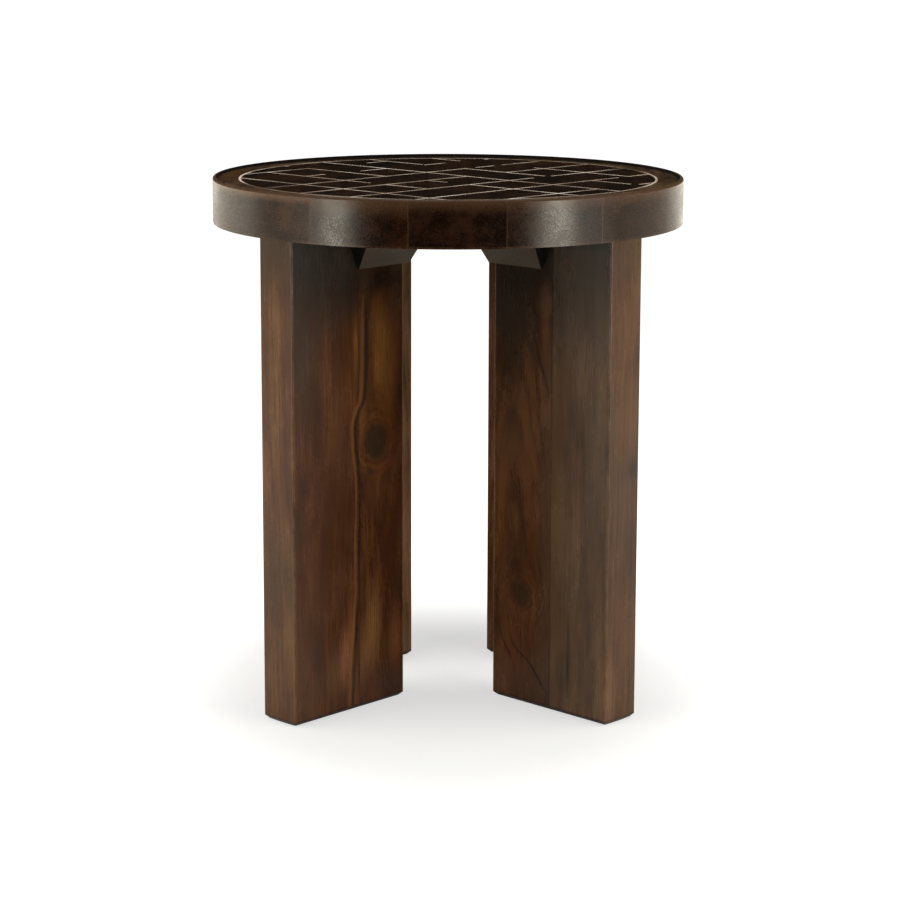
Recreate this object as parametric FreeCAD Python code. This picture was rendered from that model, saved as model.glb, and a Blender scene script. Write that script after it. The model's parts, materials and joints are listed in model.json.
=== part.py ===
import FreeCAD, Part
import math
import os

# Round side table: a glued-up disc top with a low lip and a lattice of pale strips let into it, on four
# plank legs that stand like the arms of a cross, flush with the rim, each held by a pair of corner blocks.
# Millimetres. The origin is on the floor under the centre, +Z is up and -Y is the front.

# Overall sizes
top_diameter = 508.0
table_height = 558.8         # to the top of the lip
top_thickness = 49.0
rim_round = 2.5              # easing of the upper rim edge
rim_flats = 3
lip_height = 2.8             # a hoop round the edge stands proud of the inlaid field by this much
lip_width = 4.5              # from the rim to the foot of the lip
lip_lean = 0.8               # the lip's inner face leans outward

# Boards of the top: they run front to back, glued edge to edge
board_width = 98.0
board_shift = 4.5            # the middle board lies this far right of the centre

# Plank legs, each of two boards glued edge to edge
leg_angles = {"front_left": 225.0, "front_right": 315.0, "back_right": 45.0, "back_left": 135.0}
leg_widths = {"front_left": 161.0, "front_right": 162.0, "back_right": 163.5, "back_left": 175.0}
leg_thickness = 48.0
inner_board_widths = {"front_left": 66.0, "front_right": 82.0, "back_right": 70.0, "back_left": 76.0}
leg_edge_round = 1.5
foot_chamfer = 4.0

# Dowels that pin each leg to the top
dowel_diameter = 12.0
dowel_in_leg = 35.0
dowel_in_top = 25.0
outer_dowel_inset = 26.0     # from the rim
inner_dowel_inset = 38.0     # from the leg's inner edge
dowel_clearance = 0.1
dowel_end_gap = 0.8

# Triangular corner blocks, glued to the leg's broad faces and to the underside of the top
block_drop = 36.0            # down the leg
block_reach = 30.0           # along the underside
block_flat = 2.0             # blunt edges
block_overhang = 7.0         # past the leg's inner edge
block_length = 88.0          # along its upper edge
block_end_slant = 14.0       # the outer end leans back by this much

# Inlay: a ring and, inside it, the strips of a square lattice set cornerwise to the boards
border_width = 27.8          # plain wood between the ring and the rim
ring_width = 2.5
strip_width = 3.0
inlay_depth = 2.5
glue_gap = 0.1
cells_across = 7.1907        # lattice cells across the ring
lattice_turn = -45.0
lattice_shift_u = -0.896     # place of the lattice's zero node, in cells
lattice_shift_v = 0.374

top_radius = top_diameter / 2
field_height = table_height - lip_height
leg_height = table_height - top_thickness
leg_inner_radii = {name: top_radius - width for name, width in leg_widths.items()}
ring_outer_radius = top_radius - border_width
ring_inner_radius = ring_outer_radius - ring_width
lattice_pitch = 2 * ring_inner_radius / cells_across
inlay_floor = field_height - inlay_depth
past_ring = cells_across     # a run to here is trimmed by the ring

# Runs of strip along each lattice line, in cells. Gaps in a line leave double and triple cells.
rising_runs = {
    -2: [(-past_ring, -1), (0.5, 1)],
    -1: [(-2, -1.55), (-0.62, 0), (1, 1.5), (2.6, past_ring)],
    0: [(-past_ring, 1), (1.3, 1.75), (2, 2.95)],
    1: [(-past_ring, 0), (1, past_ring)],
    2: [(-past_ring, 0.6), (1.1, past_ring)],
    3: [(-past_ring, 1.7), (2, past_ring)],
    4: [(-past_ring, 0), (1.1, past_ring)],
}
falling_runs = {
    -3: [(-past_ring, past_ring)],
    -2: [(-2, 0.6), (1, 2)],
    -1: [(-past_ring, -2.55), (-2, 0), (1, 1.45), (2, past_ring)],
    0: [(-past_ring, past_ring)],
    1: [(-past_ring, -1.1), (0, 1.9), (3, 3.85)],
    2: [(-past_ring, -1.1), (0.8, 3)],
}

up = FreeCAD.Vector(0, 0, 1)
centre = FreeCAD.Vector(0, 0, 0)


def turned(shape, angle):
    copy = shape.copy()
    copy.rotate(centre, up, angle)
    return copy


def block_between(low, high):
    low = FreeCAD.Vector(*low)
    size = FreeCAD.Vector(*high) - low
    return Part.makeBox(size.x, size.y, size.z, low)


def prism(points, direction):
    corners = [FreeCAD.Vector(*point) for point in points]
    outline = Part.makePolygon(corners + corners[:1])
    return Part.Face(outline).extrude(FreeCAD.Vector(*direction))


def disc(radius, bottom, height):
    return Part.makeCylinder(radius, height, FreeCAD.Vector(0, 0, bottom))


def lattice_strips(runs, rising, side_gap):
    # One list of straight strips for each lattice line, still square to the axes
    half = strip_width / 2 + side_gap
    lines = {}
    for line, spans in runs.items():
        shift, along_shift = lattice_shift_u, lattice_shift_v
        if not rising:
            shift, along_shift = lattice_shift_v, lattice_shift_u
        across = (line + shift) * lattice_pitch
        lines[line] = []
        for first, last in spans:
            start = (first + along_shift) * lattice_pitch - half
            end = (last + along_shift) * lattice_pitch + half
            low, high = (across - half, start), (across + half, end)
            if not rising:
                low, high = low[::-1], high[::-1]
            lines[line].append(block_between((*low, inlay_floor), (*high, field_height)))
    return lines


def inlay_lines():
    # Rising strips run through; falling strips are cut to fit between them
    field = disc(ring_inner_radius - glue_gap, inlay_floor, inlay_depth)
    rising = lattice_strips(rising_runs, True, 0.0)
    rising_beds = sum(lattice_strips(rising_runs, True, glue_gap).values(), [])
    falling = lattice_strips(falling_runs, False, 0.0)
    nodes = {}
    for number, strips in enumerate(rising.values(), 1):
        pieces = [strip.common(field) for strip in strips]
        nodes["inlay_rising_line_%d" % number] = pieces
    for number, strips in enumerate(falling.values(), 1):
        pieces = [strip.common(field).cut(rising_beds) for strip in strips]
        nodes["inlay_falling_line_%d" % number] = pieces
    return {name: solids_turned(pieces, lattice_turn) for name, pieces in nodes.items()}


def solids_turned(shapes, angle):
    solids = [solid for shape in shapes for solid in shape.Solids]
    return Part.makeCompound([turned(solid, angle) for solid in solids])


def ring(side_gap):
    outer = disc(ring_outer_radius + side_gap, inlay_floor, inlay_depth)
    return outer.cut(disc(ring_inner_radius - side_gap, inlay_floor, inlay_depth))


def inlay_beds():
    # The strips' beds run into the ring's bed, as one routed pattern
    field = disc(ring_inner_radius + ring_width / 2, inlay_floor, inlay_depth)
    strips = sum(lattice_strips(rising_runs, True, glue_gap).values(), [])
    strips += sum(lattice_strips(falling_runs, False, glue_gap).values(), [])
    strips = [turned(strip.common(field), lattice_turn) for strip in strips]
    return ring(glue_gap).fuse(strips).removeSplitter()


def dowel_spots():
    spots = []
    for name, angle in leg_angles.items():
        spots.append((leg_inner_radii[name] + inner_dowel_inset, angle))
        spots.append((top_radius - outer_dowel_inset, angle))
    return spots


def dowel(radius, angle, gap, end_gap):
    length = dowel_in_leg + dowel_in_top + 2 * end_gap
    foot = FreeCAD.Vector(radius, 0, leg_height - dowel_in_leg - end_gap)
    return turned(Part.makeCylinder(dowel_diameter / 2 + gap, length, foot), angle)


def dowels():
    return Part.makeCompound([dowel(radius, angle, 0.0, 0.0) for radius, angle in dowel_spots()])


def dowel_holes():
    return [dowel(radius, angle, dowel_clearance, dowel_end_gap) for radius, angle in dowel_spots()]


def top_lip():
    # Half section turned about the centre; the rim's upper edge is eased in narrow flats
    section = [(top_radius, 0, field_height)]
    for step in range(rim_flats + 1):
        turn = math.radians(90 * step / rim_flats)
        out = top_radius - rim_round * (1 - math.cos(turn))
        section.append((out, 0, table_height - rim_round * (1 - math.sin(turn))))
    lip_foot = top_radius - lip_width
    section += [(lip_foot + lip_lean, 0, table_height), (lip_foot, 0, field_height)]
    corners = [FreeCAD.Vector(*point) for point in section]
    return Part.Face(Part.makePolygon(corners + corners[:1])).revolve(centre, up, 360)


def top_boards():
    whole = disc(top_radius, leg_height, field_height - leg_height).cut(inlay_beds()).cut(dowel_holes())
    seams = [board_shift + board_width * step for step in (-1.5, -0.5, 0.5, 1.5)]
    sides = [-top_radius] + seams + [top_radius]
    boards = {}
    for number, (left, right) in enumerate(zip(sides, sides[1:]), 1):
        slab = block_between((left, -top_radius, leg_height), (right, top_radius, field_height))
        boards["top_board_%d" % number] = whole.common(slab)
    return boards


def leg_plank(inner_radius):
    # One leg along +X: a plank whose outer narrow face follows the rim
    half = leg_thickness / 2
    inner_left = FreeCAD.Vector(inner_radius, half, 0)
    inner_right = FreeCAD.Vector(inner_radius, -half, 0)
    rim_reach = math.sqrt(top_radius ** 2 - half ** 2)
    rim_left = FreeCAD.Vector(rim_reach, half, 0)
    rim_right = FreeCAD.Vector(rim_reach, -half, 0)
    sides = [
        Part.makeLine(rim_left, inner_left),
        Part.makeLine(inner_left, inner_right),
        Part.makeLine(inner_right, rim_right),
        Part.Arc(rim_right, FreeCAD.Vector(top_radius, 0, 0), rim_left).toShape(),
    ]
    plank = Part.Face(Part.Wire(sides)).extrude(FreeCAD.Vector(0, 0, leg_height))
    foot_edges = [edge for edge in plank.Edges if edge.BoundBox.ZMax < foot_chamfer]
    plank = plank.makeChamfer(foot_chamfer, foot_edges)
    corners = [edge for edge in plank.Edges if is_upright(edge)]
    return plank.makeFillet(leg_edge_round, corners)


def is_upright(edge):
    return abs(edge.tangentAt(edge.FirstParameter).z) > 0.99


def leg_boards():
    boards = {}
    for name, angle in leg_angles.items():
        plank = leg_plank(leg_inner_radii[name])
        seam = leg_inner_radii[name] + inner_board_widths[name]
        inner = block_between((0, -leg_thickness, 0), (seam, leg_thickness, leg_height))
        outer = block_between((seam, -leg_thickness, 0), (top_diameter, leg_thickness, leg_height))
        for place, side in (("inner", inner), ("outer", outer)):
            board = turned(plank.common(side), angle).cut(dowel_holes())
            boards["leg_%s_%s_board" % (name, place)] = board
    return boards


def corner_block(inner_radius, side):
    # Block beside a leg along +X, on its left (side 1) or right (side -1)
    start = inner_radius - block_overhang
    back = side * leg_thickness / 2
    tip = back + side * block_reach
    low = leg_height - block_drop
    section = [
        (start, back, leg_height),
        (start, tip, leg_height),
        (start, tip, leg_height - block_flat),
        (start, back + side * block_flat, low),
        (start, back, low),
    ]
    block = prism(section, (block_length, 0, 0))
    end = start + block_length
    wedge = [(end, 0, leg_height), (end, 0, low), (end - block_end_slant, 0, low)]
    return block.cut(prism(wedge, (0, tip, 0)))


def corner_blocks():
    blocks = {}
    for name, angle in leg_angles.items():
        for place, side in (("left", 1), ("right", -1)):
            block = corner_block(leg_inner_radii[name], side)
            blocks["corner_block_%s_%s" % (name, place)] = turned(block, angle)
    return blocks


def table():
    nodes = {"top_lip": top_lip(), "inlay_ring": ring(0.0), "leg_dowels": dowels()}
    for group in (top_boards(), inlay_lines(), leg_boards(), corner_blocks()):
        nodes.update(group)
    return nodes


os.makedirs("parts", exist_ok=True)
for name, shape in table().items():
    print(name, len(shape.Solids), "solids, %.1f cm3" % (shape.Volume / 1000), shape.isValid())
    shape.exportStep("parts/%s.step" % name)
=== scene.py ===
import bpy
import json
import math
from mathutils import Matrix, Vector

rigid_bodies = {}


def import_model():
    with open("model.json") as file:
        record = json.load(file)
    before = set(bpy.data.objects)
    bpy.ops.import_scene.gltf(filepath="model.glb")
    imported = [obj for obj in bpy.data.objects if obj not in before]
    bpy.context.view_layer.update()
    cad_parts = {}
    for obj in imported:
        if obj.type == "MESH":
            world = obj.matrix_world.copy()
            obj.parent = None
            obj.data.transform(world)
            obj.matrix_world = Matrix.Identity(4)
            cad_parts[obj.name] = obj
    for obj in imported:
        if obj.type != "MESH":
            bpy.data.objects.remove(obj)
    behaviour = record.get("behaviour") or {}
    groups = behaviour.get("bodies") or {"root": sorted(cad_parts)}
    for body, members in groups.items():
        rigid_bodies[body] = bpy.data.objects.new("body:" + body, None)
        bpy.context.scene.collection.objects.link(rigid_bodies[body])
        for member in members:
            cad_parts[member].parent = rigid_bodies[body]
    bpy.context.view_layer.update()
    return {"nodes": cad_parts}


for leftover in list(bpy.data.objects):
    bpy.data.objects.remove(leftover)  # an empty room first
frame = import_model()
print("table loaded,", len(frame["nodes"]), "pieces")

# All places are in metres in the table's own frame: floor at 0, front towards -Y.
tableSizes = {
    "radius": 0.254,
    "height": 0.5588,        # to the top of the lip
    "field": 0.556,
    "lipFoot": 0.2495,
    "underside": 0.5098,
    "legHalf": 0.024,        # half a leg's thickness
    "ringOuter": 0.2262,     # inlay ring
}


# Small helpers for wiring materials

def stain(red, green, blue):
    # a colour as a picture program gives it, 0 to 255
    linear = []
    for part in (red, green, blue):
        part = part / 255
        linear.append(part / 12.92 if part <= 0.04045 else ((part + 0.055) / 1.055) ** 2.4)
    return (*linear, 1.0)


def plug(tree, source, socket):
    if isinstance(source, bpy.types.NodeSocket):
        tree.links.new(source, socket)
    else:
        socket.default_value = source


def calc(tree, operation, first, second=0.0, clamp=False):
    node = tree.nodes.new("ShaderNodeMath")
    node.operation = operation
    node.use_clamp = clamp
    plug(tree, first, node.inputs[0])
    plug(tree, second, node.inputs[1])
    return node.outputs[0]


def times(tree, first, second):
    return calc(tree, "MULTIPLY", first, second)


def plus(tree, first, second, clamp=False):
    return calc(tree, "ADD", first, second, clamp)


def minus(tree, first, second):
    return calc(tree, "SUBTRACT", first, second)


def around(tree, value, strength):
    # lets a value from 0 to 1 swing both ways
    return times(tree, minus(tree, value, 0.5), strength)


def vectorCalc(tree, operation, first, second=(0.0, 0.0, 0.0)):
    node = tree.nodes.new("ShaderNodeVectorMath")
    node.operation = operation
    plug(tree, first, node.inputs[0])
    plug(tree, second, node.inputs[1])
    return node.outputs["Value" if operation in ("LENGTH", "DOT_PRODUCT") else "Vector"]


def reachFrom(tree, place, middle, size):
    # distance from the middle, 1 at the edge of an oval of that size
    away = vectorCalc(tree, "DIVIDE", vectorCalc(tree, "SUBTRACT", place, middle), size)
    return vectorCalc(tree, "LENGTH", away)


def fade(tree, value, low, high, fromValue=0.0, toValue=1.0):
    # smooth step from low to high
    node = tree.nodes.new("ShaderNodeMapRange")
    node.interpolation_type = "SMOOTHSTEP"
    for socket, number in zip(node.inputs, (value, low, high, fromValue, toValue)):
        plug(tree, number, socket)
    return node.outputs[0]


def blendColour(tree, mode, factor, under, over):
    node = tree.nodes.new("ShaderNodeMix")
    node.data_type = "RGBA"
    node.blend_type = mode
    plug(tree, factor, node.inputs[0])
    plug(tree, under, node.inputs[6])
    plug(tree, over, node.inputs[7])
    return node.outputs[2]


def tint(tree, mask, under, over):
    return blendColour(tree, "MIX", mask, under, over)


def colourRamp(tree, value, stops):
    node = tree.nodes.new("ShaderNodeValToRGB")
    ramp = node.color_ramp
    while len(ramp.elements) < len(stops):
        ramp.elements.new(0.5)
    for element, (place, colour) in zip(ramp.elements, stops):
        element.position = place
        element.color = colour
    plug(tree, value, node.inputs[0])
    return node.outputs[0]


def noise(tree, vector, stretch, detail=3.0, roughness=0.55):
    node = tree.nodes.new("ShaderNodeTexNoise")
    node.inputs["Scale"].default_value = 1.0
    node.inputs["Detail"].default_value = detail
    node.inputs["Roughness"].default_value = roughness
    plug(tree, vectorCalc(tree, "MULTIPLY", vector, stretch), node.inputs["Vector"])
    return node.outputs["Fac"]


def curveThrough(tree, value, points):
    # smooth curve through points given from 0 to 1
    node = tree.nodes.new("ShaderNodeFloatCurve")
    curve = node.mapping.curves[0]
    while len(curve.points) < len(points):
        curve.points.new(0.5, 0.5)
    for point, spot in zip(curve.points, points):
        point.location = spot
    node.mapping.update()
    plug(tree, value, node.inputs["Value"])
    return node.outputs[0]


def split(tree, vector):
    node = tree.nodes.new("ShaderNodeSeparateXYZ")
    plug(tree, vector, node.inputs[0])
    return node.outputs


def join(tree, x, y, z):
    node = tree.nodes.new("ShaderNodeCombineXYZ")
    for socket, value in zip(node.inputs, (x, y, z)):
        plug(tree, value, socket)
    return node.outputs[0]


def fromAxis(tree, spot):
    # distance from the table's upright axis
    return vectorCalc(tree, "LENGTH", join(tree, spot["X"], spot["Y"], 0.0))


def surfaceNormal(tree):
    return tree.nodes.new("ShaderNodeNewGeometry").outputs["Normal"]


def startGroup(name, inputs, outputs):
    group = bpy.data.node_groups.new(name, "ShaderNodeTree")
    for label, kind in inputs.items():
        group.interface.new_socket(name=label, in_out="INPUT", socket_type="NodeSocket" + kind)
    for label, kind in outputs.items():
        group.interface.new_socket(name=label, in_out="OUTPUT", socket_type="NodeSocket" + kind)
    return group, group.nodes.new("NodeGroupInput").outputs, group.nodes.new("NodeGroupOutput").inputs


def useGroup(tree, group, **values):
    node = tree.nodes.new("ShaderNodeGroup")
    node.node_tree = group
    for label, value in values.items():
        plug(tree, value, node.inputs[label])
    return node.outputs


# Shared effects. A board's own frame has x across it, y through it and z along the grain.

def makeGrainGroup():
    group, enter, leave = startGroup(
        "woodGrain",
        {"Vector": "Vector", "Rings": "Float", "Wander": "Float"},
        {"Growth": "Float", "Streak": "Float", "Fibre": "Float",
         "Pores": "Float", "Cloud": "Float", "Waves": "Float"})
    drift = around(group, noise(group, enter["Vector"], (9.0, 9.0, 6.0), 2.0, 0.5), 0.016)
    place = vectorCalc(group, "ADD", enter["Vector"], join(group, drift, drift, 0.0))  # the grain wanders
    wave = group.nodes.new("ShaderNodeTexWave")  # growth rings round the pith
    wave.wave_type = "RINGS"
    wave.rings_direction = "Z"
    wave.inputs["Detail"].default_value = 3.0
    wave.inputs["Detail Scale"].default_value = 0.55
    wave.inputs["Detail Roughness"].default_value = 0.55
    plug(group, vectorCalc(group, "MULTIPLY", place, (1.0, 1.0, 0.09)), wave.inputs["Vector"])
    plug(group, enter["Rings"], wave.inputs["Scale"])
    plug(group, enter["Wander"], wave.inputs["Distortion"])
    plug(group, fade(group, wave.outputs["Fac"], 0.0, 0.5, 1.0, 0.0), leave["Growth"])  # thin late-wood lines
    streak = noise(group, place, (78.0, 78.0, 5.5), 5.0, 0.62)
    plug(group, fade(group, streak, 0.28, 0.72), leave["Streak"])
    fibre = noise(group, place, (560.0, 560.0, 15.0), 4.0, 0.65)
    plug(group, fade(group, fibre, 0.25, 0.75), leave["Fibre"])
    pores = noise(group, place, (1200.0, 1200.0, 55.0), 2.0, 0.5)
    plug(group, fade(group, pores, 0.58, 0.72), leave["Pores"])
    cloud = noise(group, place, (19.0, 19.0, 9.0), 4.0, 0.55)
    plug(group, fade(group, cloud, 0.28, 0.72), leave["Cloud"])
    plug(group, noise(group, enter["Vector"], (24.0, 24.0, 12.0), 2.0, 0.5), leave["Waves"])
    return group


def makeKnotGroup():
    # bends the grain round a knot and gives the knot's dark eye, arcs on its inner side and a halo
    group, enter, leave = startGroup(
        "knotInBoard",
        {"Vector": "Vector", "Place": "Vector", "Size": "Float", "Bend": "Float"},
        {"Bent": "Vector", "Eye": "Float", "Arcs": "Float", "Halo": "Float"})
    away = split(group, vectorCalc(group, "SUBTRACT", enter["Vector"], enter["Place"]))
    wobble = around(group, noise(group, enter["Vector"], (75.0, 75.0, 75.0), 4.0, 0.6), 0.9)
    flat = join(group, away["X"], 0.0, times(group, away["Z"], 0.92))
    reach = calc(group, "DIVIDE", vectorCalc(group, "LENGTH", flat), enter["Size"])
    bell = calc(group, "EXPONENT", times(group, times(group, reach, reach), -0.3))
    push = times(group, times(group, away["X"], bell), enter["Bend"])
    plug(group, vectorCalc(group, "SUBTRACT", enter["Vector"], join(group, push, 0.0, 0.0)), leave["Bent"])
    ragged = plus(group, reach, wobble)
    plug(group, fade(group, ragged, 0.45, 1.15, 1.0, 0.0), leave["Eye"])
    halo = fade(group, ragged, 0.9, 2.1, 1.0, 0.0)
    plug(group, halo, leave["Halo"])
    lines = calc(group, "SINE", times(group, ragged, 17.0))
    lines = plus(group, times(group, lines, 0.5), 0.5)
    oneSide = fade(group, calc(group, "DIVIDE", away["X"], enter["Size"]), -1.2, 1.2, 0.1, 1.0)
    plug(group, times(group, lines, times(group, halo, oneSide)), leave["Arcs"])
    return group


def makePatchGroup():
    # a soft patch of other colour in a board
    group, enter, leave = startGroup(
        "tonePatch",
        {"Vector": "Vector", "Place": "Vector", "Size": "Vector"},
        {"Mask": "Float"})
    ragged = around(group, noise(group, enter["Vector"], (70.0, 70.0, 16.0), 5.0, 0.62), 1.0)
    reach = plus(group, reachFrom(group, enter["Vector"], enter["Place"], enter["Size"]), ragged)
    plug(group, fade(group, reach, 0.0, 1.3, 1.0, 0.0), leave["Mask"])
    return group


def makeSeamGroup():
    # thin line, as where two boards are glued or the wood has split
    group, enter, leave = startGroup(
        "glueLine",
        {"Vector": "Vector", "Across": "Float", "Place": "Float", "Width": "Float"},
        {"Mask": "Float"})
    drift = noise(group, enter["Vector"], (7.0, 7.0, 7.0), 2.0, 0.5)
    width = times(group, enter["Width"], fade(group, drift, 0.3, 0.7, 0.5, 1.5))
    away = calc(group, "ABSOLUTE", minus(group, enter["Across"], enter["Place"]))
    plug(group, fade(group, calc(group, "DIVIDE", away, width), 0.25, 1.0, 1.0, 0.0), leave["Mask"])
    return group


def makeWearGroup():
    # rubbed edge: both distances to the two faces that meet there are small
    group, enter, leave = startGroup(
        "rubbedEdge",
        {"Vector": "Vector", "First": "Float", "Second": "Float", "Width": "Float"},
        {"Wear": "Float"})
    patchy = fade(group, noise(group, enter["Vector"], (55.0, 55.0, 55.0), 4.0, 0.6), 0.32, 0.68, 0.15, 1.0)
    near = calc(group, "DIVIDE", calc(group, "MAXIMUM", enter["First"], enter["Second"]), enter["Width"])
    plug(group, times(group, fade(group, near, 0.3, 1.2, 1.0, 0.0), patchy), leave["Wear"])
    return group


grainGroup = makeGrainGroup()
knotGroup = makeKnotGroup()
patchGroup = makePatchGroup()
seamGroup = makeSeamGroup()
wearGroup = makeWearGroup()
print("shared wood effects made")


def startMaterial(name):
    material = bpy.data.materials.new(name)
    material.use_nodes = True
    tree = material.node_tree
    surface = tree.nodes["Principled BSDF"]
    place = tree.nodes.new("ShaderNodeTexCoord").outputs["Object"]
    return material, tree, surface, place


def boardFrame(tree, place, across, through, along, pith, lean=0.0):
    # turns table coordinates into the board's own, with the pith on the z axis
    rows = Matrix((across, through, along)).to_3x3()
    rows = Matrix.Rotation(math.radians(lean), 3, "X") @ rows
    node = tree.nodes.new("ShaderNodeMapping")
    node.inputs["Rotation"].default_value = rows.to_euler("XYZ")
    node.inputs["Location"].default_value = (-pith[0], -pith[1], pith[2])
    plug(tree, place, node.inputs["Vector"])
    return node.outputs[0]


def dress(nodeName, material):
    slots = frame["nodes"][nodeName].data.materials
    slots.clear()
    slots.append(material)


# What all the wood has in common
woodFinish = {
    "poreColour": stain(120, 104, 92),
    "cloudGloss": 0.08,        # how unevenly the lacquer shines
    "fibreGloss": 0.03,
    "fibreRelief": 0.05,
    "poreRelief": 0.03,
    "bending": 1.45,           # refraction of the lacquer
}


def grainColour(tree, grain, look):
    # clouds, streaks, fibres and growth rings decide how dark the stain took
    tone = times(tree, grain["Cloud"], look["cloud"])
    tone = plus(tree, tone, times(tree, grain["Streak"], look["streak"]))
    tone = plus(tree, tone, times(tree, grain["Fibre"], look["fibre"]))
    tone = minus(tree, tone, times(tree, grain["Growth"], look["growth"]))
    middle = 0.5 - (look["cloud"] + look["streak"] + look["fibre"] - look["growth"] * 0.5) / 2
    tone = plus(tree, tone, middle, clamp=True)
    colour = colourRamp(tree, tone, [(0.0, look["dark"]), (0.5, look["middle"]), (1.0, look["light"])])
    pores = times(tree, grain["Pores"], look["pores"])
    return blendColour(tree, "MULTIPLY", pores, colour, woodFinish["poreColour"])


def addBump(tree, surface, height, strength, depth):
    bump = tree.nodes.new("ShaderNodeBump")
    bump.inputs["Strength"].default_value = strength
    bump.inputs["Distance"].default_value = depth
    plug(tree, height, bump.inputs["Height"])
    plug(tree, bump.outputs[0], surface.inputs["Normal"])


def satinFinish(tree, surface, grain, colour, rough, bumpDepth):
    plug(tree, colour, surface.inputs["Base Color"])
    gloss = plus(tree, around(tree, grain["Cloud"], woodFinish["cloudGloss"]), rough)
    gloss = plus(tree, gloss, times(tree, grain["Fibre"], woodFinish["fibreGloss"]))
    plug(tree, gloss, surface.inputs["Roughness"])
    surface.inputs["IOR"].default_value = woodFinish["bending"]
    relief = plus(tree, grain["Waves"], times(tree, grain["Fibre"], woodFinish["fibreRelief"]))
    relief = minus(tree, relief, times(tree, grain["Pores"], woodFinish["poreRelief"]))
    addBump(tree, surface, relief, 1.0, bumpDepth)


# Legs: an inner and an outer board each. Places are (out from the centre, up), or (out, sideways, up).
legLook = {
    "rough": 0.25,
    "bump": 0.0004,
    "seamWidth": 0.0012,
    "wearWidth": 0.0026,
    "wearStrength": 0.3,
    "wearColour": stain(138, 104, 78),
    "footShadeColour": stain(30, 22, 15),    # painted shade on the bevel at the floor, over the end grain
    "footShadeStrength": 0.8,
    "footEdge": (0.0032, 0.0062),
    "eyeColour": stain(42, 31, 17),
    "haloColour": stain(92, 46, 18),
    "arcColour": stain(128, 88, 46),
    "seamColour": stain(24, 16, 9),
    "splitLight": stain(126, 84, 46),   # pale edge beside a split
    "splitLightGap": 0.0052,
    "splitWobble": 0.004,
    "paintedShadeWander": 0.06,                # raggedness of the painted shade under the top
    "patchFibre": (0.65, 1.2),          # patches take the fibres unevenly
    "arcStrength": 1.2,
    "underTop": (stain(18, 15, 11), 0.75, 0.494, 0.508),  # painted shade just under the top: colour, strength, from, to
}
legTurns = {"front_left": 225, "front_right": 315, "back_right": 45, "back_left": 135}
legSeams = {"front_left": 0.159, "front_right": 0.174, "back_right": 0.1605, "back_left": 0.155}
legInner = {"front_left": 0.093, "front_right": 0.092, "back_right": 0.0905, "back_left": 0.079}
seamStrengths = {"front_left": 0.2, "front_right": 0.5, "back_right": 0.6, "back_left": 0.6}
# splits in the wood: path as (up, out from the centre), and the heights between which they show
legSplits = {
    "front_left": [{
        "path": [(0.0, 0.170), (0.074, 0.165), (0.127, 0.160), (0.18, 0.1596), (0.242, 0.158), (0.307, 0.164),
                 (0.323, 0.159), (0.338, 0.151), (0.427, 0.148), (0.51, 0.1465)],
        "width": 0.0034, "depth": 0.7, "top": 0.46, "bottom": -0.02, "pale": 0.5}],
    "front_right": [
        {"path": [(0.0, 0.176), (0.3, 0.172), (0.337, 0.169), (0.372, 0.159), (0.408, 0.146), (0.436, 0.117),
                  (0.51, 0.1)],
         "width": 0.0026, "depth": 0.55, "top": 0.435, "bottom": 0.33, "pale": 0.0},
        {"path": [(0.0, 0.141), (0.025, 0.129), (0.05, 0.117), (0.085, 0.101), (0.51, 0.09)],
         "width": 0.0026, "depth": 0.7, "top": 0.095, "bottom": 0.035, "pale": 0.0},
        {"path": [(0.0, 0.185), (0.022, 0.1665), (0.0456, 0.147), (0.08, 0.1153), (0.51, 0.1)],
         "width": 0.0026, "depth": 0.7, "top": 0.095, "bottom": 0.01, "pale": 0.0}],
}
plainBoard = {
    "dark": stain(56, 33, 19), "middle": stain(88, 56, 34), "light": stain(120, 82, 54),
    "streak": 0.42, "growth": 0.12, "fibre": 0.24, "cloud": 0.5, "pores": 0.35,
    "pith": (0.13, 0.05, 0.0), "lean": 2.0, "rings": 46.0, "wander": 7.0, "knots": [], "patches": [],
    "paintedShade": (stain(60, 48, 36), 0.8, 0.40, 0.485),     # painted shade under the top on the broad faces: colour, strength, from, to
    "narrow": (1.1, 1.2, 1.4, 1.0),                     # colour multiplier for the outer narrow face: painted light, that face toned apart from the broad faces for the light and sheen it catches
}
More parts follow.
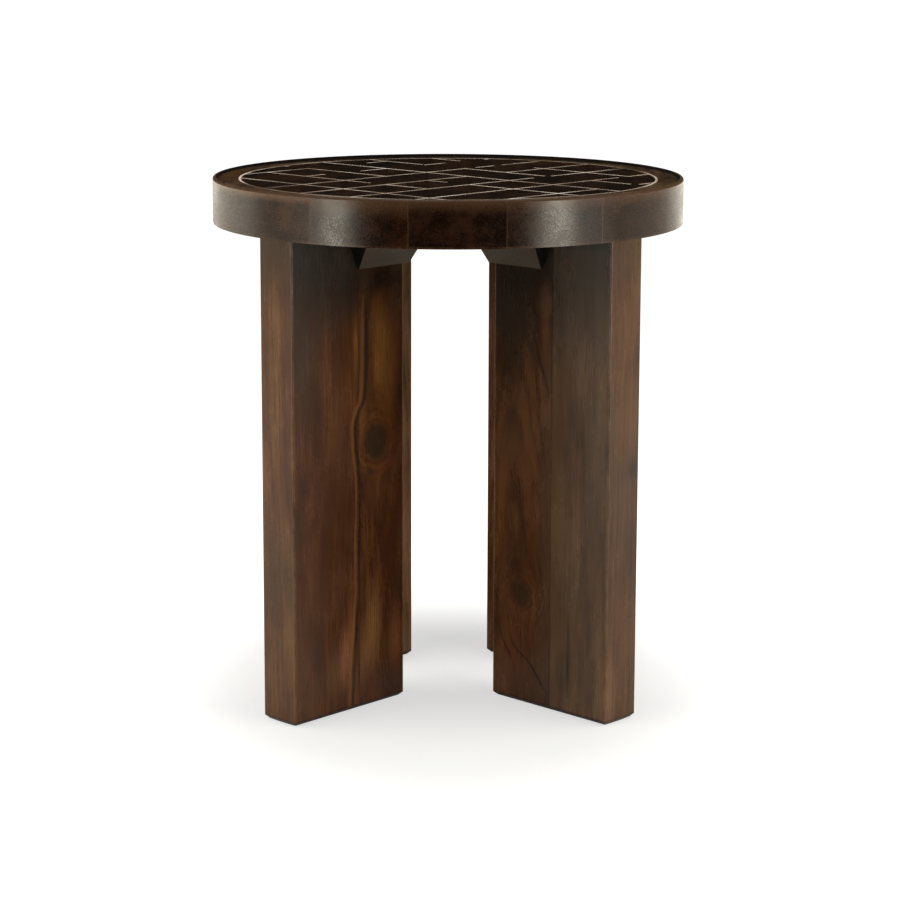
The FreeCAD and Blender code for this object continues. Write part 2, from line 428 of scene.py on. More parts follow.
# knots: place, size, bend, eye, arcs; patches: place, size, colour, strength
legBoards = {
    "front_left_inner": {
        **plainBoard, "dark": stain(46, 22, 5), "middle": stain(64, 32, 9), "light": stain(102, 61, 25),
        "pith": (0.118, -0.03, 1.3), "lean": 3.0, "paintedShade": (stain(54, 40, 27), 0.85, 0.425, 0.485),
        "knots": [((0.133, 0.288), 0.0215, 0.75, 0.85, 0.3)],
        "patches": [((0.128, 0.392), (0.015, 0.06), stain(150, 104, 46), 0.55),
                    ((0.122, 0.35), (0.02, 0.07), stain(112, 70, 24), 0.5),
                    ((0.149, 0.385), (0.0065, 0.08), stain(54, 36, 14), 0.6),
                    ((0.126, 0.263), (0.022, 0.012), stain(110, 50, 18), 0.5),
                    ((0.128, 0.270), (0.018, 0.012), stain(16, 9, 3), 0.95),
                    ((0.11, 0.386), (0.014, 0.06), stain(112, 70, 34), 0.55),
                    ((0.1415, 0.2555), (0.011, 0.006), stain(32, 23, 13), 0.9),
                    ((0.154, 0.055), (0.012, 0.042), stain(130, 90, 58), 0.6),
                    ((0.121, 0.055), (0.014, 0.04), stain(100, 60, 32), 0.5),
                    ((0.139, 0.085), (0.013, 0.055), stain(138, 96, 58), 0.65),
                    ((0.105, 0.068), (0.013, 0.045), stain(136, 84, 52), 0.65),
                    ((0.103, 0.31), (0.008, 0.08), stain(46, 24, 10), 0.5),
                    ((0.105, 0.17), (0.016, 0.11), stain(62, 32, 14), 0.6),
                    ((0.125, 0.02), (0.05, 0.03), stain(76, 50, 34), 0.5),
                    # painted shadow under the corner block
                    ((0.124, 0.461), (0.046, 0.019), stain(24, 14, 10), 0.9)],
    },
    "front_left_outer": {
        **plainBoard, "dark": stain(52, 26, 9), "middle": stain(77, 41, 16), "light": stain(107, 66, 32),
        "pith": (0.235, 0.06, 2.7), "lean": -2.0, "paintedShade": (stain(37, 30, 22), 0.9, 0.38, 0.48),
        "narrow": (1.34, 1.8, 2.8, 1.0),
        "patches": [((0.1635, 0.398), (0.0055, 0.05), stain(140, 92, 46), 0.6),
                    ((0.180, 0.33), (0.02, 0.09), stain(98, 60, 30), 0.5),
                    ((0.238, 0.024, 0.40), (0.03, 0.014, 0.1), stain(60, 48, 36), 0.6),
                    ((0.205, 0.2), (0.024, 0.14), stain(68, 36, 15), 0.55),
                    ((0.181, 0.06), (0.011, 0.036), stain(144, 92, 60), 0.75),
                    ((0.193, 0.048), (0.016, 0.036), stain(116, 80, 54), 0.5),
                    ((0.178, 0.285), (0.012, 0.05), stain(58, 30, 13), 0.6),
                    ((0.2535, -0.002, 0.155), (0.012, 0.1, 0.06), stain(66, 50, 34), 0.75),
                    ((0.1695, 0.07), (0.007, 0.045), stain(140, 92, 54), 0.55),
                    ((0.235, 0.06), (0.03, 0.1), stain(74, 56, 40), 0.5),
                    ((0.253, 0.0, 0.52), (0.012, 0.15, 0.08), stain(54, 40, 24), 0.95),
                    # painted shade under the top
                    ((0.168, 0.455), (0.03, 0.035), stain(30, 26, 22), 0.6)],
    },
    "front_right_inner": {
        **plainBoard, "dark": stain(50, 29, 13), "middle": stain(70, 42, 20), "light": stain(104, 68, 38),
        "pith": (0.122, -0.012, 4.1), "lean": 6.0, "growth": 0.22, "rings": 44.0, "wander": 6.0,
        "paintedShade": (stain(35, 25, 16), 0.9, 0.36, 0.455), "narrow": (1.0, 1.0, 1.0, 1.0),
        "knots": [((0.1316, 0.12), 0.0165, 0.7, 0.7, 0.12), ((0.138, 0.258), 0.011, 0.8, 0.12, 0.2)],
        "patches": [((0.104, 0.22), (0.012, 0.11), stain(116, 72, 36), 0.5),
                    ((0.15, 0.21), (0.018, 0.05), stain(96, 56, 32), 0.5),
                    ((0.118, 0.30), (0.03, 0.05), stain(64, 42, 24), 0.6),
                    # painted shadow under the corner block
                    ((0.12, 0.460), (0.046, 0.021), stain(20, 16, 13), 0.9),
                    ((0.113, 0.395), (0.03, 0.055), stain(42, 32, 22), 0.8),
                    ((0.166, 0.415), (0.009, 0.04), stain(124, 82, 56), 0.6),
                    ((0.166, 0.442), (0.011, 0.022), stain(150, 110, 84), 0.8),
                    ((0.165, 0.05), (0.02, 0.08), stain(84, 60, 42), 0.5),
                    ((0.12, 0.05), (0.04, 0.08), stain(100, 60, 38), 0.65),
                    ((0.1, 0.025), (0.022, 0.055), stain(112, 74, 50), 0.6),
                    ((0.174, 0.25), (0.02, 0.27), stain(80, 58, 40), 0.75)],
    },
    "front_right_outer": {
        **plainBoard, "dark": stain(62, 46, 32), "middle": stain(90, 67, 47), "light": stain(114, 87, 63),
        "pith": (0.20, 0.08, 5.2), "lean": 1.0, "cloud": 0.46, "paintedShade": (stain(52, 43, 34), 0.85, 0.36, 0.48),
        "narrow": (0.89, 0.76, 0.65, 1.0), "growth": 0.16,
        "knots": [((0.1936, 0.4776), 0.0065, 0.7, 0.3, 0.1)],
        "patches": [((0.2535, 0.0142, 0.269), (0.03, 0.010, 0.014), stain(38, 30, 20), 0.95),
                    ((0.178, 0.24), (0.017, 0.28), stain(82, 56, 35), 0.65),
                    ((0.188, 0.4), (0.013, 0.06), stain(60, 42, 29), 0.6),
                    ((0.238, 0.26), (0.02, 0.09), stain(72, 60, 46), 0.55),
                    ((0.2, 0.13), (0.02, 0.07), stain(74, 60, 45), 0.5),
                    ((0.2, 0.06), (0.003, 0.05), stain(36, 26, 18), 0.85),
                    ((0.187, 0.08), (0.016, 0.04), stain(106, 78, 56), 0.4),
                    ((0.25, -0.024, 0.29), (0.004, 0.01, 0.02), stain(44, 36, 28), 0.7),
                    ((0.2535, -0.02, 0.03), (0.012, 0.016, 0.05), stain(122, 92, 68), 0.6),
                    ((0.253, 0.0, 0.52), (0.012, 0.15, 0.055), stain(54, 40, 24), 0.6)],
    },
    "back_right_inner": {**plainBoard, "pith": (0.12, -0.05, 6.6), "lean": -5.0,
                         "knots": [((0.118, 0.36), 0.014, 0.8, 0.75, 0.25)]},
    "back_right_outer": {**plainBoard, "dark": stain(60, 42, 29), "middle": stain(90, 65, 46),
                         "light": stain(116, 86, 62), "pith": (0.21, 0.06, 7.4), "lean": 2.5},
    "back_left_inner": {**plainBoard, "dark": stain(62, 41, 22), "middle": stain(104, 74, 48),
                        "light": stain(134, 98, 64), "pith": (0.115, 0.05, 8.3), "lean": 4.0,
                        "knots": [((0.125, 0.17), 0.012, 0.8, 0.75, 0.25)]},
    "back_left_outer": {**plainBoard, "middle": stain(86, 56, 36), "pith": (0.215, -0.06, 9.9), "lean": -3.0,
                        "knots": [((0.206, 0.41), 0.011, 0.7, 0.75, 0.25)]},
}


def addSplit(tree, flat, spot, colour, crack):
    # a wandering split in the wood, dark with one pale edge
    upTo, outFrom, outSpan = tableSizes["underside"], 0.09, 0.1  # the curve's ranges
    path = [(min(height / upTo, 1.0), (outward - outFrom) / outSpan) for height, outward in crack["path"]]
    place = curveThrough(tree, calc(tree, "DIVIDE", spot["Z"], upTo), path)
    place = plus(tree, times(tree, place, outSpan), outFrom)
    wobble = around(tree, noise(tree, flat, (40.0, 40.0, 40.0), 3.0, 0.6), legLook["splitWobble"])
    place = plus(tree, place, wobble)
    shown = times(tree, fade(tree, spot["Z"], crack["top"] - 0.05, crack["top"], 1.0, 0.0),
                  fade(tree, spot["Z"], crack["bottom"], crack["bottom"] + 0.02))
    if crack["pale"]:
        beside = plus(tree, place, legLook["splitLightGap"])
        pale = useGroup(tree, seamGroup, Vector=flat, Across=spot["X"], Place=beside, Width=crack["width"])
        pale = times(tree, pale["Mask"], times(tree, shown, crack["pale"]))
        colour = tint(tree, pale, colour, legLook["splitLight"])
    line = useGroup(tree, seamGroup, Vector=flat, Across=spot["X"], Place=place, Width=crack["width"])
    dark = times(tree, line["Mask"], times(tree, shown, crack["depth"]))
    return tint(tree, dark, colour, legLook["seamColour"])


def legWood(legName, boardName):
    board = legBoards[legName + "_" + boardName]
    material, tree, surface, place = startMaterial("legWood_%s_%s" % (legName, boardName))
    turn = math.radians(legTurns[legName])
    out = (math.cos(turn), math.sin(turn), 0.0)
    side = (-math.sin(turn), math.cos(turn), 0.0)
    flat = boardFrame(tree, place, out, side, (0.0, 0.0, 1.0), (0.0, 0.0, 0.0))  # x out, y side, z up
    spot = split(tree, flat)
    bent, knots = flat, []
    for (outward, height), size, bend, eye, arcs in board["knots"]:
        knot = useGroup(tree, knotGroup, Vector=bent, Place=(outward, 0.0, height), Size=size, Bend=bend)
        bent = knot["Bent"]
        knots.append((knot, eye, arcs))
    inBoard = boardFrame(tree, bent, (1, 0, 0), (0, 1, 0), (0, 0, 1), board["pith"], board["lean"])
    grain = useGroup(tree, grainGroup, Vector=inBoard, Rings=board["rings"], Wander=board["wander"])
    colour = grainColour(tree, grain, board)
    facing = surfaceNormal(tree)
    narrowFace = fade(tree, vectorCalc(tree, "DOT_PRODUCT", facing, out), 0.6, 0.85)
    # painted light: the outer narrow face gets its own tone
    colour = blendColour(tree, "MULTIPLY", narrowFace, colour, board["narrow"])
    broadFace = fade(tree, calc(tree, "ABSOLUTE", vectorCalc(tree, "DOT_PRODUCT", facing, side)), 0.6, 0.85)
    weak, strong = legLook["patchFibre"]
    for middle, size, patchColour, strength in board["patches"]:
        if len(middle) == 2:  # right through the board
            middle, size = (middle[0], 0.0, middle[1]), (size[0], 1.0, size[1])
        patch = useGroup(tree, patchGroup, Vector=flat, Place=middle, Size=size)
        taken = fade(tree, grain["Fibre"], 0.0, 1.0, strength * weak, strength * strong)
        colour = tint(tree, times(tree, patch["Mask"], taken), colour, patchColour)
    # painted shade: the broad faces darker under the top's overhang
    paintedShadeColour, strength, low, high = board["paintedShade"]
    paintedShadeMask = plus(tree, spot["Z"], around(tree, grain["Cloud"], legLook["paintedShadeWander"]))
    paintedShadeMask = times(tree, fade(tree, paintedShadeMask, low, high, 0.0, strength), broadFace)
    colour = tint(tree, paintedShadeMask, colour, paintedShadeColour)
    # painted shade: a dark band right under the top on the broad faces
    underTopShadeColour, strength, low, high = legLook["underTop"]
    underTopShade = times(tree, fade(tree, spot["Z"], low, high, 0.0, strength), broadFace)
    colour = tint(tree, underTopShade, colour, underTopShadeColour)
    for knot, eye, arcs in knots:
        arcLines = times(tree, knot["Arcs"], arcs * legLook["arcStrength"])
        colour = tint(tree, times(tree, knot["Halo"], arcs), colour, legLook["haloColour"])
        colour = tint(tree, arcLines, colour, legLook["arcColour"])
        colour = tint(tree, times(tree, knot["Eye"], eye), colour, legLook["eyeColour"])
    seam = useGroup(tree, seamGroup, Vector=flat, Across=spot["X"], Place=legSeams[legName],
                    Width=legLook["seamWidth"])
    seamLine = times(tree, seam["Mask"], seamStrengths[legName])
    colour = tint(tree, seamLine, colour, legLook["seamColour"])
    for crack in legSplits.get(legName, []):
        colour = addSplit(tree, flat, spot, colour, crack)
    broad = minus(tree, tableSizes["legHalf"], calc(tree, "ABSOLUTE", spot["Y"]))
    narrow = calc(tree, "MINIMUM", minus(tree, tableSizes["radius"], fromAxis(tree, spot)),
                  minus(tree, spot["X"], legInner[legName]))
    wear = useGroup(tree, wearGroup, Vector=flat, First=broad, Second=narrow, Width=legLook["wearWidth"])
    colour = tint(tree, times(tree, wear["Wear"], legLook["wearStrength"]), colour, legLook["wearColour"])
    # painted shade: a dark line along the bevel at the floor
    footShade = fade(tree, spot["Z"], *legLook["footEdge"], legLook["footShadeStrength"], 0.0)
    colour = tint(tree, footShade, colour, legLook["footShadeColour"])
    satinFinish(tree, surface, grain, colour, legLook["rough"], legLook["bump"])
    return material


for legName in legTurns:
    for boardName in ("inner", "outer"):
        dress("leg_%s_%s_board" % (legName, boardName), legWood(legName, boardName))
print("leg boards finished")


# Top: five boards that run front to back. Pith is (right, up, offset along the board).
topLook = {
    "rough": 0.26,
    "bump": 0.0003,
    "fieldCold": stain(98, 94, 74),         # inside the inlay ring, patches of both
    "fieldWarm": stain(130, 116, 82),
    "ringEdge": 0.002,
    "borderTint": (0.7, 0.87, 1.0, 1.0),    # between the ring and the lip
    "borderPatches": [                      # place, size, colour, strength
        ((-0.24, 0.02, 0.556), (0.03, 0.07, 0.05), stain(104, 68, 40), 0.6),
        ((0.21, -0.1, 0.556), (0.05, 0.08, 0.05), stain(104, 84, 58), 0.6)],
    "mottle": (0.04, 0.08),                 # uneven gloss of the rim, broad and fine
    "wearWidth": 0.0028,
    "wearStrength": 0.3,
    "wearColour": stain(104, 76, 54),
    "seamWidth": 0.0008,
    "seamStrength": 0.6,
    "seamColour": stain(16, 9, 5),
    "rimSeam": stain(96, 72, 48),           # the seams show pale in the rim
    "lipRough": 0.42,
    "lipMatte": 0.6,                        # added on the lip's inner side
    "lipShade": stain(12, 9, 6),            # painted shade inside the lip
    "lipShadeStrength": (0.95, 0.9),        # on the lip and at its foot
    "lipShadeReach": (0.003, 0.032),        # from the foot inwards, at the front and at the back
    "lipShadeFade": (0.1, 0.23),            # where the reach grows, towards the back
}
topSeams = (-0.1425, -0.0445, 0.0535, 0.1515)
plainTop = {
    "dark": stain(54, 36, 22), "middle": stain(86, 60, 40), "light": stain(118, 85, 57),
    "rimDark": stain(12, 4, 1), "rimMiddle": stain(27, 10, 2), "rimLight": stain(46, 24, 9),
    "streak": 0.56, "growth": 0.1, "fibre": 0.24, "cloud": 0.6, "pores": 0.4,
    "rings": 48.0, "wander": 5.0,
    "rubbed": (stain(92, 66, 44), 0.58, 0.016),  # painted sheen, a lighter band under the rim's upper edge: colour, strength, depth
}
paleRim = {"rimDark": stain(34, 21, 12), "rimMiddle": stain(46, 29, 16), "rimLight": stain(68, 47, 30)}
topBoards = {
    1: {**plainTop, **paleRim, "middle": stain(96, 68, 45), "pith": (-0.20, 0.44, 1.1), "lean": 1.5,
        "rubbed": (stain(114, 86, 64), 0.9, 0.012)},
    2: {**plainTop, "rimMiddle": stain(38, 15, 3), "pith": (-0.088, 0.43, 2.3), "lean": -1.0,
        "rubbed": (stain(92, 66, 44), 0.62, 0.024)},
    3: {**plainTop, "pith": (-0.005, 0.40, 3.7), "lean": 0.4},
    4: {**plainTop, "rimMiddle": stain(38, 17, 4), "pith": (0.11, 0.42, 4.9), "lean": 1.2},
    5: {**plainTop, **paleRim, "pith": (0.205, 0.45, 6.2), "lean": -1.8},
}


def topWood(name, number, rough):
    board = topBoards[number]
    material, tree, surface, place = startMaterial(name)
    right, up, along = board["pith"]
    inBoard = boardFrame(tree, place, (1, 0, 0), (0, 0, -1), (0, 1, 0), (right, -up, along), board["lean"])
    grain = useGroup(tree, grainGroup, Vector=inBoard, Rings=board["rings"], Wander=board["wander"])
    rimLook = {**board, "dark": board["rimDark"], "middle": board["rimMiddle"], "light": board["rimLight"]}
    facing = surfaceNormal(tree)
    upFace = fade(tree, vectorCalc(tree, "DOT_PRODUCT", facing, (0.0, 0.0, 1.0)), 0.6, 0.95)
    onRim = minus(tree, 1.0, upFace)
    colour = tint(tree, upFace, grainColour(tree, grain, rimLook), grainColour(tree, grain, board))
    spot = split(tree, place)
    radial = fromAxis(tree, spot)
    ring = tableSizes["ringOuter"]
    inside = fade(tree, radial, ring - topLook["ringEdge"], ring, 1.0, 0.0)
    cells = colourRamp(tree, noise(tree, place, (17.0, 17.0, 17.0), 3.0, 0.55),
                       [(0.38, topLook["fieldCold"]), (0.62, topLook["fieldWarm"])])
    colour = blendColour(tree, "MULTIPLY", times(tree, inside, upFace), colour, cells)
    border = times(tree, minus(tree, 1.0, inside), upFace)
    colour = blendColour(tree, "MULTIPLY", border, colour, topLook["borderTint"])
    for middle, size, patchColour, strength in topLook["borderPatches"]:
        patch = useGroup(tree, patchGroup, Vector=place, Place=middle, Size=size)
        mask = times(tree, times(tree, patch["Mask"], strength), border)
        colour = tint(tree, mask, colour, patchColour)
    seamColour = tint(tree, upFace, topLook["rimSeam"], topLook["seamColour"])
    for seamPlace in topSeams[max(number - 2, 0):number]:  # on this board's left and right
        seam = useGroup(tree, seamGroup, Vector=place, Across=spot["X"], Place=seamPlace,
                        Width=topLook["seamWidth"])
        colour = tint(tree, times(tree, seam["Mask"], topLook["seamStrength"]), colour, seamColour)
    outer = minus(tree, tableSizes["radius"], radial)
    upper = minus(tree, tableSizes["height"], spot["Z"])
    lower = minus(tree, spot["Z"], tableSizes["underside"])
    # painted sheen: lighter band under the rim's upper edge
    upperRimSheenColour, strength, depth = board["rubbed"]
    rubbed = times(tree, fade(tree, upper, 0.0, depth, strength, 0.0), onRim)
    colour = tint(tree, rubbed, colour, upperRimSheenColour)
    wear = useGroup(tree, wearGroup, Vector=place, First=outer, Second=lower, Width=topLook["wearWidth"])
    colour = tint(tree, times(tree, wear["Wear"], topLook["wearStrength"]), colour, topLook["wearColour"])
    lipFoot = tableSizes["lipFoot"]
    onLip, onField = topLook["lipShadeStrength"]
    front, back = topLook["lipShadeReach"]
    outward = vectorCalc(tree, "DOT_PRODUCT", facing, join(tree, spot["X"], spot["Y"], 0.0))
    outward = calc(tree, "DIVIDE", outward, radial)
    # painted shade inside the lip and along its foot, reaching further in at the back
    inLip = times(tree, fade(tree, outward, -0.6, -0.2, onLip, 0.0),
                  fade(tree, radial, lipFoot - 0.002, lipFoot - 0.001))
    shadeFrom = fade(tree, spot["Y"], *topLook["lipShadeFade"], lipFoot - front, lipFoot - back)
    atFoot = times(tree, fade(tree, radial, shadeFrom, lipFoot), upFace)
    atFoot = times(tree, atFoot, fade(tree, upper, 0.002, 0.0025, 0.0, onField))  # not on the lip's top
    colour = tint(tree, calc(tree, "MAXIMUM", inLip, atFoot), colour, topLook["lipShade"])
    broadMottle, fineMottle = topLook["mottle"]
    mottle = plus(tree, around(tree, grain["Streak"], broadMottle), around(tree, grain["Fibre"], fineMottle))
    matte = plus(tree, times(tree, inLip, topLook["lipMatte"]), rough)
    matte = plus(tree, matte, times(tree, mottle, onRim))
    satinFinish(tree, surface, grain, colour, matte, topLook["bump"])
    return material


for number in topBoards:
    dress("top_board_%d" % number, topWood("topWood_%d" % number, number, topLook["rough"]))
dress("top_lip", topWood("topWood_lip", 3, topLook["lipRough"]))
print("top boards and lip finished")


# Inlay: pale strips, darkened unevenly, with painted highlights
inlayLook = {
    "pale": stain(250, 238, 222),
    "aged": stain(158, 136, 115),
    "agedShares": (0.45, 0.55),     # small mottling and whole stretches
    "grime": stain(92, 70, 54),
    "grimeStrength": 0.5,
    # stretches by place and size
    "hardlySeen": (stain(70, 52, 38), [((-0.2, -0.105), (0.055, 0.06)), ((0.208, 0.088), (0.03, 0.045))]),
    # painted highlights: lighter stretches of the strips
    "paintedHighlights": (stain(255, 249, 238), [((-0.006, -0.19), (0.026, 0.026)), ((0.061, -0.212), (0.024, 0.02)),
                                           ((0.105, -0.16), (0.022, 0.022)), ((-0.075, 0.11), (0.04, 0.04))]),
    "stretchStrength": 0.9,
    "rough": 0.4,
    "roughSwing": 0.12,
    "pitStrength": 0.2,
    "pitDepth": 0.0002,
}


def inlayBone():
    material, tree, surface, place = startMaterial("inlayBone")
    mottle = fade(tree, noise(tree, place, (46.0, 46.0, 46.0), 4.0, 0.6), 0.34, 0.66)
    lengths = fade(tree, noise(tree, place, (11.0, 11.0, 11.0), 2.0, 0.5), 0.36, 0.62)
    specks = fade(tree, noise(tree, place, (420.0, 420.0, 420.0), 3.0, 0.6), 0.56, 0.72)
    small, whole = inlayLook["agedShares"]
    dull = plus(tree, times(tree, mottle, small), times(tree, lengths, whole))
    colour = tint(tree, dull, inlayLook["pale"], inlayLook["aged"])
    colour = tint(tree, times(tree, specks, inlayLook["grimeStrength"]), colour, inlayLook["grime"])
    for tone, stretches in (inlayLook["hardlySeen"], inlayLook["paintedHighlights"]):
        for middle, size in stretches:
            patch = useGroup(tree, patchGroup, Vector=place, Place=(*middle, tableSizes["field"]),
                             Size=(*size, 1.0))
            colour = tint(tree, times(tree, patch["Mask"], inlayLook["stretchStrength"]), colour, tone)
    plug(tree, colour, surface.inputs["Base Color"])
    rough = plus(tree, times(tree, mottle, inlayLook["roughSwing"]), inlayLook["rough"])
    plug(tree, rough, surface.inputs["Roughness"])
    addBump(tree, surface, minus(tree, 1.0, specks), inlayLook["pitStrength"], inlayLook["pitDepth"])
    return material


boneMaterial = inlayBone()
for name in frame["nodes"]:
    if name.startswith("inlay_"):
        dress(name, boneMaterial)
print("inlay finished")


# Corner blocks: grain along the block, end grain nearly black: its own darker stain and painted shade
blockLook = {**plainBoard, "dark": stain(52, 42, 28), "middle": stain(66, 54, 38), "light": stain(80, 67, 49),
             "streak": 0.3, "growth": 0.08, "fibre": 0.2, "cloud": 0.7,
             "lean": 3.0, "rings": 50.0, "wander": 5.0,
             "rough": 0.36, "bump": 0.0003, "endGrainAndShade": stain(14, 10, 7)}


def blockWood(legName):
    material, tree, surface, place = startMaterial("blockWood_" + legName)
    turn = math.radians(legTurns[legName])
    out = (math.cos(turn), math.sin(turn), 0.0)
    side = (math.sin(turn), -math.cos(turn), 0.0)
    pith = (0.47, 0.03, legTurns[legName] / 37)  # other grain for each leg
    inBoard = boardFrame(tree, place, (0.0, 0.0, 1.0), side, out, pith, blockLook["lean"])
    grain = useGroup(tree, grainGroup, Vector=inBoard, Rings=blockLook["rings"], Wander=blockLook["wander"])
    colour = grainColour(tree, grain, blockLook)
    lengthwise = vectorCalc(tree, "DOT_PRODUCT", surfaceNormal(tree), out)
    endFace = fade(tree, calc(tree, "ABSOLUTE", lengthwise), 0.5, 0.8)
    # end faces darkened: darker end grain and painted shade
    colour = tint(tree, endFace, colour, blockLook["endGrainAndShade"])
    satinFinish(tree, surface, grain, colour, blockLook["rough"], blockLook["bump"])
    return material


for legName in legTurns:
    blockMaterial = blockWood(legName)
    for hand in ("left", "right"):
        dress("corner_block_%s_%s" % (legName, hand), blockMaterial)
print("corner blocks finished")


# Dowels: unstained hardwood pegs inside the joints
pegLook = {**plainBoard, "dark": stain(150, 112, 74), "middle": stain(188, 150, 106),
           "light": stain(212, 178, 134), "pith": (0.05, 0.06, 0.0), "rings": 90.0, "wander": 3.0,
           "rough": 0.6, "bump": 0.0003}


def pegWood():
    material, tree, surface, place = startMaterial("pegWood")
    inBoard = boardFrame(tree, place, (1, 0, 0), (0, 1, 0), (0, 0, 1), pegLook["pith"])
    grain = useGroup(tree, grainGroup, Vector=inBoard, Rings=pegLook["rings"], Wander=pegLook["wander"])
    colour = grainColour(tree, grain, pegLook)
    satinFinish(tree, surface, grain, colour, pegLook["rough"], pegLook["bump"])
    return material


dress("leg_dowels", pegWood())
print("dowels finished")


# Studio: pale floor, white surroundings, soft lamps above, in front and at the sides, low lamps for the rim
studioFloor = {
    "reach": 40.0,
    "drop": 0.0003,                 # below the feet
    "colour": (0.6, 0.6, 0.59, 1.0),
    "shadowColour": (0.40, 0.42, 0.425, 1.0),  # what the camera sees of the lamps' light
    "glow": (0.58, 1.0),            # white added to that, less in the painted shadow round the table and full away from it
    "glowFade": (0.55, 1.38),
    "shadowMiddle": (0.0, -0.08, 0.0),
    "shadowReach": (0.3, 0.4, 1.0),
    "paperMiddle": (0.0, 2.5, 0.0),  # the lit paper in the table's reflections
    "paperReach": (8.5, 5.0, 1.0),
    "paperEdge": (0.85, 1.1),
    "paperFront": (-1.8, -0.9),     # the room in front is dark
    "mirrored": (0.03, 1.0),        # share of the glow in reflections, near and far behind
    "behind": (2.9, 4.5),
    "beside": (2.2, 4.4),           # all of it far to the left and right
    "mirrorColour": (1.0, 0.94, 0.78, 1.0),
}
studioRoom = {
    "light": 0.1,
    "hidden": 0.93,                 # share of it left out of reflections
    "horizon": (-0.06, 0.0),        # white in reflections below it
}
lampColours = {"plain": (1.0, 0.94, 0.86), "glare": (1.0, 0.955, 0.8), "back": (1.0, 0.93, 0.8)}
# each lamp aims at a height on the table's axis; those without shine don't show in reflections
studioLamps = {
    "above": {"place": (0.0, 0.2, 2.3), "aim": 0.4, "size": (2.2, 2.0), "power": 18.0},
    "rimLeft": {"place": (-1.78, -1.293, 0.28), "aim": 0.28, "size": (0.44, 0.4), "power": 7.0,
                "colour": "glare"},
    "rimRight": {"place": (1.673, -1.429, 0.28), "aim": 0.28, "size": (0.48, 0.4), "power": 9.2,
                 "colour": "glare"},
    "rimLeftEdge": {"place": (-2.06, -0.72, 0.27), "aim": 0.27, "size": (0.62, 0.4), "power": 0.6},
    "rimRightEdge": {"place": (2.02, -0.82, 0.27), "aim": 0.27, "size": (0.62, 0.4), "power": 1.3},
    "backLeft": {"place": (-1.88, 1.58, 0.27), "aim": 0.27, "size": (2.6, 0.4), "power": 3.3, "colour": "back"},
    "backRight": {"place": (1.4, 1.94, 0.27), "aim": 0.27, "size": (1.4, 0.4), "power": 1.9, "colour": "back"},
    "frontLeft": {"place": (-1.6, -1.35, 1.75), "aim": 0.3, "size": (0.9, 0.7), "power": 9.0, "shine": False},
    "frontRight": {"place": (1.6, -1.35, 1.75), "aim": 0.3, "size": (0.9, 0.7), "power": 9.0, "shine": False},
    "sideLeft": {"place": (-2.1, -0.1, 1.15), "aim": 0.4, "size": (2.0, 1.1), "power": 31.0, "shine": False},
    "sideRight": {"place": (2.1, -0.1, 1.15), "aim": 0.4, "size": (2.0, 1.1), "power": 31.0, "shine": False},
}


def seenWhite(tree, rays, mirrored):
    # by the camera, through glass, and in reflections as far as given
    seen = calc(tree, "MAXIMUM", rays["Is Camera Ray"], rays["Is Transmission Ray"])
    return calc(tree, "MAXIMUM", seen, times(tree, rays["Is Glossy Ray"], mirrored))


def floorPaper():
    material = bpy.data.materials.new("floorPaper")
    material.use_nodes = True
    tree = material.node_tree
    tree.nodes.clear()
    place = tree.nodes.new("ShaderNodeTexCoord").outputs["Object"]
    spot = split(tree, place)
    rays = tree.nodes.new("ShaderNodeLightPath").outputs
    # painted shadow: an oval of less white round the table, over the real shadow
    fromShadow = reachFrom(tree, place, studioFloor["shadowMiddle"], studioFloor["shadowReach"])
    glow = fade(tree, fromShadow, *studioFloor["glowFade"], *studioFloor["glow"])
    paper = reachFrom(tree, place, studioFloor["paperMiddle"], studioFloor["paperReach"])
    paper = fade(tree, paper, *studioFloor["paperEdge"], 1.0, 0.0)
    behind = fade(tree, spot["Y"], *studioFloor["behind"], *studioFloor["mirrored"])
    beside = fade(tree, calc(tree, "ABSOLUTE", spot["X"]), *studioFloor["beside"])
    mirrored = times(tree, paper, calc(tree, "MAXIMUM", behind, beside))
    emission = tree.nodes.new("ShaderNodeEmission")
    plug(tree, times(tree, seenWhite(tree, rays, mirrored), glow), emission.inputs["Strength"])
    white = (1.0, 1.0, 1.0, 1.0)
    glowColour = tint(tree, rays["Is Glossy Ray"], white, studioFloor["mirrorColour"])
    plug(tree, glowColour, emission.inputs["Color"])
    lit = times(tree, paper, fade(tree, spot["Y"], *studioFloor["paperFront"]))
    unlit = times(tree, rays["Is Glossy Ray"], minus(tree, 1.0, lit))
    colour = tint(tree, rays["Is Camera Ray"], studioFloor["colour"], studioFloor["shadowColour"])
    diffuse = tree.nodes.new("ShaderNodeBsdfDiffuse")
    plug(tree, tint(tree, unlit, colour, (0.0, 0.0, 0.0, 1.0)), diffuse.inputs["Color"])
    both = tree.nodes.new("ShaderNodeAddShader")
    plug(tree, emission.outputs[0], both.inputs[0])
    plug(tree, diffuse.outputs[0], both.inputs[1])
    clear = tree.nodes.new("ShaderNodeBsdfTransparent")
    either = tree.nodes.new("ShaderNodeMixShader")  # open when looked at from below
    plug(tree, tree.nodes.new("ShaderNodeNewGeometry").outputs["Backfacing"], either.inputs[0])
    plug(tree, both.outputs[0], either.inputs[1])
    plug(tree, clear.outputs[0], either.inputs[2])
    plug(tree, either.outputs[0], tree.nodes.new("ShaderNodeOutputMaterial").inputs["Surface"])
    return material


def makeFloor():
    bpy.ops.object.select_all(action="DESELECT")
    bpy.ops.mesh.primitive_circle_add(vertices=96, radius=studioFloor["reach"], fill_type="NGON",
                                      location=(0, 0, -studioFloor["drop"]))
    floor = bpy.context.object
    floor.name = "studioFloor"
    bpy.ops.object.transform_apply(location=True, rotation=True, scale=True)
    floor.data.materials.append(floorPaper())


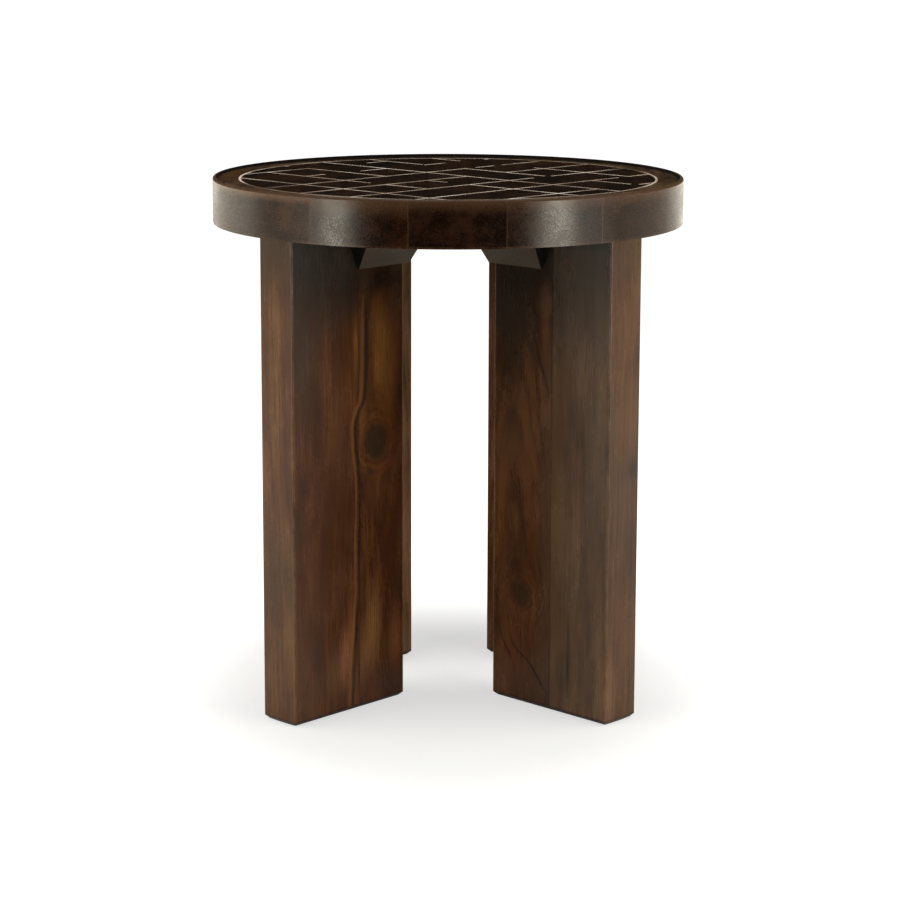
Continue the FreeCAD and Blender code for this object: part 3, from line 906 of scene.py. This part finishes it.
def makeRoom():
    world = bpy.data.worlds.new("studioRoom")
    bpy.context.scene.world = world
    world.use_nodes = True
    tree = world.node_tree
    tree.nodes.clear()
    rays = tree.nodes.new("ShaderNodeLightPath").outputs
    heading = split(tree, tree.nodes.new("ShaderNodeTexCoord").outputs["Generated"])
    low = fade(tree, heading["Z"], *studioRoom["horizon"], 1.0, 0.0)
    soft = minus(tree, 1.0, times(tree, rays["Is Glossy Ray"], studioRoom["hidden"]))
    soft = times(tree, soft, studioRoom["light"])
    background = tree.nodes.new("ShaderNodeBackground")
    plug(tree, calc(tree, "MAXIMUM", seenWhite(tree, rays, low), soft), background.inputs["Strength"])
    background.inputs["Color"].default_value = (1.0, 1.0, 1.0, 1.0)
    plug(tree, background.outputs[0], tree.nodes.new("ShaderNodeOutputWorld").inputs["Surface"])


def makeLamp(name, lamp):
    bpy.ops.object.light_add(type="AREA", location=lamp["place"])
    light = bpy.context.object
    light.name = "studioLamp_" + name
    light.data.shape = "RECTANGLE"
    light.data.size, light.data.size_y = lamp["size"]
    light.data.energy = lamp["power"]
    light.data.color = lampColours[lamp.get("colour", "plain")]
    light.visible_camera = False
    light.visible_glossy = lamp.get("shine", True)  # the large ones would mirror in the top
    aim = Vector((0.0, 0.0, lamp["aim"])) - Vector(lamp["place"])
    light.rotation_euler = aim.to_track_quat("-Z", "Y").to_euler()


makeFloor()
makeRoom()
for name, lamp in studioLamps.items():
    makeLamp(name, lamp)
print("studio lit")


# Camera, found from the photo's outlines; degrees
tableCamera = {
    "place": (-0.05367, -2.72176, 0.82733),
    "turn": 1.184,             # to the right
    "tilt": 10.1441,           # down
    "roll": 0.156,
    "lens": 100.764,
    "sensor": 36.0,
    "shift": -0.085,
}


def makeCamera():
    bpy.ops.object.camera_add(location=tableCamera["place"])
    camera = bpy.context.object
    camera.name = "tableCamera"
    aim = Matrix.Rotation(math.radians(-tableCamera["turn"]), 3, "Z")
    aim = aim @ Matrix.Rotation(math.radians(90 - tableCamera["tilt"]), 3, "X")
    aim = aim @ Matrix.Rotation(math.radians(tableCamera["roll"]), 3, "Z")
    camera.rotation_euler = aim.to_euler()
    camera.data.lens = tableCamera["lens"]
    camera.data.sensor_width = tableCamera["sensor"]
    camera.data.shift_y = tableCamera["shift"]
    bpy.context.scene.camera = camera


makeCamera()
bpy.context.scene.view_settings.view_transform = "Standard"
print("camera set")

bpy.context.view_layer.update()
